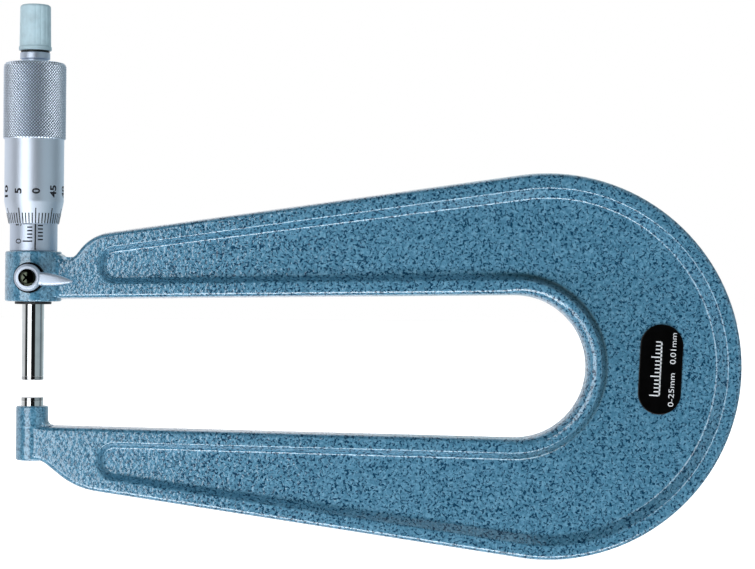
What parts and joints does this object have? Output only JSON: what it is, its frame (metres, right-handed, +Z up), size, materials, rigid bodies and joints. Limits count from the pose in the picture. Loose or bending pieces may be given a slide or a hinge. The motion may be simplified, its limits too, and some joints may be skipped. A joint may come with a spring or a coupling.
{
  "type": "outside micrometer",
  "caption": "Deep-throat outside micrometer: horseshoe frame, anvil, screw-driven spindle, graduated sleeve and thimble, ratchet stop and spindle clamp lever.",
  "frame": {"origin": "centre of the anvil's measuring face", "axes": "+Z up the spindle axis towards the ratchet, +X from the spindle axis into the throat, -Y the side with the clamp lever and the nameplate"},
  "size_m": [0.2132, 0.022, 0.1586],
  "materials": {
    "hammer_paint": "semi-gloss blue hammer-tone enamel",
    "polished_steel": "ground and lapped, near mirror",
    "carbide": "lapped tungsten carbide",
    "satin_chrome": "satin, anti-glare",
    "plain_steel": "turned steel",
    "black_steel": "black oxide",
    "brass": "turned",
    "black_plastic": "moulded",
    "nameplate_black": "gloss black label with white print",
    "grip_plastic": "moulded, satin"
  },
  "bodies": {
    "frame": {"frame": "hammer_paint", "nameplate": "nameplate_black", "anvil": "polished_steel", "anvil_tip": "carbide", "inner_sleeve": "plain_steel", "outer_sleeve": "satin_chrome", "adjusting_nut": "plain_steel", "wiper_ring": "black_plastic", "clamp_bush": "black_steel"},
    "feed": {"spindle_tip": "carbide"},
    "thimble": {"spindle": "polished_steel", "thimble": "satin_chrome", "ratchet_stem": "polished_steel", "ratchet_washer": "plain_steel", "ratchet_screw": "plain_steel"},
    "ratchet": {"ratchet_cap": "grip_plastic", "ratchet_spring": "plain_steel"},
    "ratchet_ring": {"ratchet_ring": "plain_steel"},
    "clamp": {"clamp_stem": "plain_steel", "clamp_lever": "satin_chrome", "clamp_screw": "black_steel"},
    "clamp_pad": {"clamp_pad": "brass"}
  },
  "joints": [
    {"name": "spindle_feed", "type": "slide", "parent": "frame", "child": "feed", "axis": [0, 0, 1], "range_m": [-0.005, 0.02]},
    {"name": "thimble_turn", "type": "hinge", "parent": "feed", "child": "thimble", "pos_m": [0, 0, 0.06], "axis": [0, 0, 1], "range_deg": [-3600, 14400]},
    {"name": "ratchet_slip", "type": "hinge", "parent": "thimble", "child": "ratchet", "pos_m": [0, 0, 0.1], "axis": [0, 0, 1], "continuous": true},
    {"name": "ratchet_ring_lift", "type": "slide", "parent": "ratchet", "child": "ratchet_ring", "axis": [0, 0, 1], "range_m": [0, 0.0004], "stiffness_N_per_m": 500, "springref_m": -0.002, "deforming": ["ratchet_spring"]},
    {"name": "clamp_turn", "type": "hinge", "parent": "frame", "child": "clamp", "pos_m": [0, -0.009, 0.0344], "axis": [0, 1, 0], "range_deg": [0, 60]},
    {"name": "clamp_press", "type": "slide", "parent": "frame", "child": "clamp_pad", "axis": [0, 1, 0], "range_m": [0, 0.00008333]}
  ],
  "couplings": [
    {"joint": "thimble_turn", "follows": "spindle_feed", "rad_per_m": 12566},
    {"joint": "clamp_turn", "follows": "clamp_press", "rad_per_m": 12566}
  ]
}
